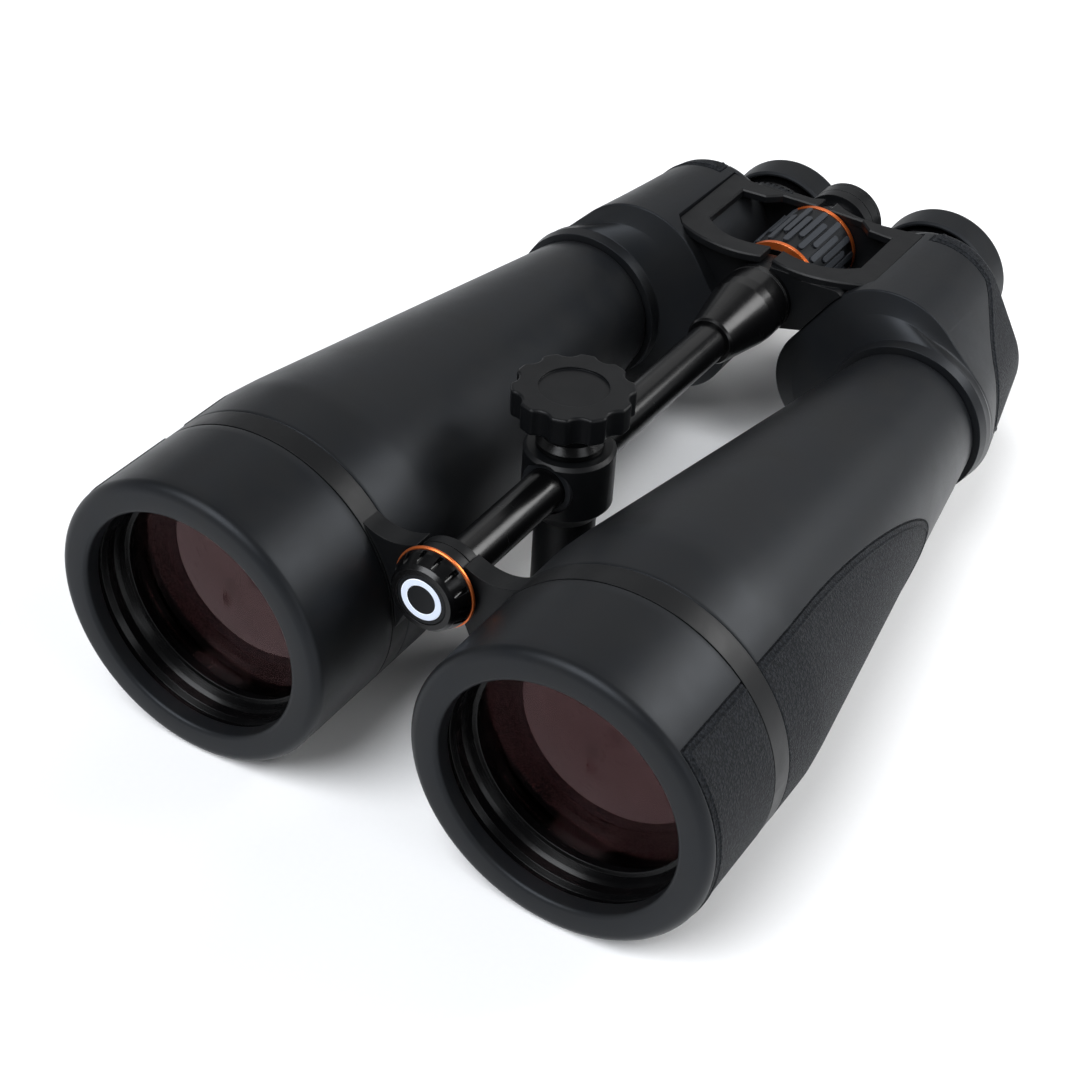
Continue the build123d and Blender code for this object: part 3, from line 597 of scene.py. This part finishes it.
def fine_copy(node, spacing):
    """Copy of a CAD node's mesh, cut through by a grid of planes this far apart."""
    mesh = nodes[node].data.copy()
    mesh.materials.clear()
    if "custom_normal" in mesh.attributes:
        mesh.attributes.remove(mesh.attributes["custom_normal"])
    work = bmesh.new()
    work.from_mesh(mesh)
    bmesh.ops.remove_doubles(work, verts=work.verts, dist=0.002 * MM)
    low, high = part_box(node)
    for axis in range(3):
        normal = Vector([float(axis == k) for k in range(3)])
        for step in range(1, int((high[axis] - low[axis]) / spacing) + 1):
            everything = work.verts[:] + work.edges[:] + work.faces[:]
            bmesh.ops.bisect_plane(work, geom=everything, plane_no=normal,
                                   plane_co=normal * (low[axis] + step * spacing), dist=0.001 * MM)
    work.to_mesh(mesh)
    work.free()
    return mesh


def housing_skin(side):
    """Prism housing and rear cover with the grip panel moulded round their outer side."""
    for node, name in (("prism_housing", "housing_skin"), ("rear_cover", "cover_skin")):
        mesh = fine_copy(f"{side}_{node}", 4 * MM)
        carve(mesh, housing_panel(side), from_housing(side))
        piece = add_piece(f"{side}_{name}", mesh, f"{side}_half", "armour_casting",
                          MATERIALS["armour_casting"], GRIP)
        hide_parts(f"{side}_{node}")


# ---------------------------------------------------------------------------
# Small pieces
# ---------------------------------------------------------------------------
def knob_marking():
    """Plain white ring on the disc of the front knob."""
    face_y = span("lock_knob_badge")[0]
    inner, outer = 5.1 * MM, 7.4 * MM
    proud, bevel, sunk = 0.08 * MM, 0.1 * MM, 0.1 * MM
    profile = [(face_y - proud, inner + bevel), (face_y - proud, outer - bevel), (face_y, outer),
               (face_y + sunk, outer), (face_y + sunk, inner), (face_y, inner)]
    mesh = lathe("knob_marking", profile, HINGE, 96)
    add_piece("knob_marking", mesh, "lock_knob_body", "grey_disc", MARKING)


# (depth, radius) in mm of each step inside the objective's cell
CELL_STEPS = [(0.0, 41.15), (2.4, 40.85), (5.6, 40.55), (6.4, 40.2), (7.0, 39.95), (9.0, 39.6)]
CELL_CLEAR = 37.9 * MM               # clear radius in front of the lens


def objective_cell(side):
    """Inside of the hood: stepped ring with thin edges that holds the objective."""
    front, back = span("left_retaining_ring")
    outer = radius_of("left_retaining_ring")
    profile = [(front, outer)]
    for depth, radius in CELL_STEPS:
        y = front + depth * MM
        profile += [(y, radius * MM + 0.1 * MM), (y + 0.12 * MM, radius * MM)]
    profile += [(back - 0.5 * MM, 39.5 * MM), (back, CELL_CLEAR), (back, outer)]
    mesh = lathe(f"{side}_cell", profile, barrel_axis(side), 224)
    piece = add_piece(f"{side}_objective_cell", mesh, f"{side}_half", "inner_black",
                      MATERIALS["inner_black"])
    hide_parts(f"{side}_retaining_ring")


def light_baffle(side):
    """Threaded black sleeve behind the objective, which stops stray light."""
    start, pitch, turns = 38.4, 1.1, 26          # station, and mm per thread
    rise = 0.55 * pitch * MM
    bore, crest, outer = 39.6 * MM, 39.0 * MM, 41.6 * MM
    profile = [(station(start), outer)]
    for turn in range(turns):
        front = station(start + turn * pitch)
        profile += [(front, bore), (front + rise, crest)]
    profile += [(station(start + turns * pitch), bore), (station(start + turns * pitch), outer)]
    mesh = lathe(f"{side}_baffle", profile, barrel_axis(side), 128)
    add_piece(f"{side}_light_baffle", mesh, f"{side}_half", "inner_black",
              MATERIALS["inner_black"], angle=20)


# ---------------------------------------------------------------------------
# Stage, light and camera
# ---------------------------------------------------------------------------
COOL_LIGHT = (0.95, 0.97, 1.0)
FLOOR_REACH = 40.0
FLOOR_GAP = 0.2 * MM                 # keeps the floor just under the object


def softbox(name, place, target, size, power, colour=(1, 1, 1)):
    """Rectangular lamp that faces its target."""
    data = bpy.data.lights.new(name, "AREA")
    data.shape = "RECTANGLE"
    data.size, data.size_y = size
    data.energy = power
    data.color = colour
    lamp = bpy.data.objects.new(name, data)
    lamp.location = place
    lamp.rotation_euler = (Vector(target) - Vector(place)).to_track_quat("-Z", "Y").to_euler()
    bpy.context.scene.collection.objects.link(lamp)


def surroundings():
    """Even studio light from all round, brighter near the horizon than overhead."""
    horizon, overhead = 0.08, 0.4
    horizon_strength, overhead_strength = 0.7, 0.14
    world = bpy.data.worlds.new("studio")
    world.use_nodes = True
    tree = world.node_tree
    background = tree.nodes["Background"]
    background.inputs["Color"].default_value = COOL_LIGHT + (1,)
    place = tree.nodes.new("ShaderNodeTexCoord")
    height = tree.nodes.new("ShaderNodeSeparateXYZ")
    fade = tree.nodes.new("ShaderNodeMapRange")
    limits = (horizon, overhead, horizon_strength, overhead_strength)
    for index, number in enumerate(limits, start=1):
        fade.inputs[index].default_value = number
    tree.links.new(place.outputs["Generated"], height.inputs["Vector"])
    tree.links.new(height.outputs["Z"], fade.inputs["Value"])
    tree.links.new(fade.outputs["Result"], background.inputs["Strength"])
    bpy.context.scene.world = world


def pale_floor():
    """Large pale sheet that the object stands on."""
    mesh = bpy.data.meshes.new("floor")
    corners = [(x * FLOOR_REACH, y * FLOOR_REACH, 0) for x, y in ((-1, -1), (1, -1), (1, 1), (-1, 1))]
    mesh.from_pydata(corners, [], [(0, 1, 2, 3)])
    floor = bpy.data.objects.new("floor", mesh)
    floor.location.z = -FLOOR_GAP
    bpy.context.scene.collection.objects.link(floor)
    paper = Shader("white_paper", specular_ior_level=0.1)
    fibre = paper.noise(2 * MM, 2.0)
    colour = paper.mixed(fibre, (0.93, 0.93, 0.93, 1), (0.95, 0.95, 0.95, 1))
    mesh.materials.append(paper.finish(colour, 0.9))


def studio():
    """World, floor and lamps."""
    bpy.context.scene.view_settings.view_transform = "Standard"
    surroundings()
    pale_floor()
    middle_of_object = (0, 0, 0.05)
    softbox("key", (0.37, 0.26, 0.44), (0.08, -0.15, 0.08), (0.34, 0.28), 2.6)
    softbox("back_top", (-0.55, 1.25, 1.2), middle_of_object, (1.6, 1.0), 3.6)
    softbox("right_side", (1.7, -0.5, 0.8), middle_of_object, (0.8, 0.8), 5, COOL_LIGHT)

    data = bpy.data.lights.new("front_fill", "SUN")
    data.energy = 3.5
    data.angle = radians(45)
    data.color = COOL_LIGHT
    fill = bpy.data.objects.new("front_fill", data)
    fill.rotation_euler = Vector((0.4, 1.3, -1.9)).to_track_quat("-Z", "Y").to_euler()
    bpy.context.scene.collection.objects.link(fill)


def camera():
    """Camera at the photo's viewing angle, as fitted to the object's round rims."""
    data = bpy.data.cameras.new("camera")
    data.sensor_width = 36.0
    data.lens = 73.35
    data.clip_start = 0.01
    place = Vector((0.2900, -0.5822, 0.4933))
    back = Vector((0.3975, -0.6924, 0.6021)).normalized()
    roughly_right = Vector((0.8466, 0.5298, 0.0503))
    up = back.cross(roughly_right).normalized()
    right = up.cross(back)
    turn = Matrix((right, up, back)).transposed().to_4x4()
    view = bpy.data.objects.new("camera", data)
    view.matrix_world = Matrix.Translation(place) @ turn
    bpy.context.scene.collection.objects.link(view)
    bpy.context.scene.camera = view


paint_nodes()
for side in SIDES:
    front_sleeve(side)
    barrel_skin(side)
    housing_skin(side)
    objective_cell(side)
    light_baffle(side)
knob_marking()
studio()
camera()
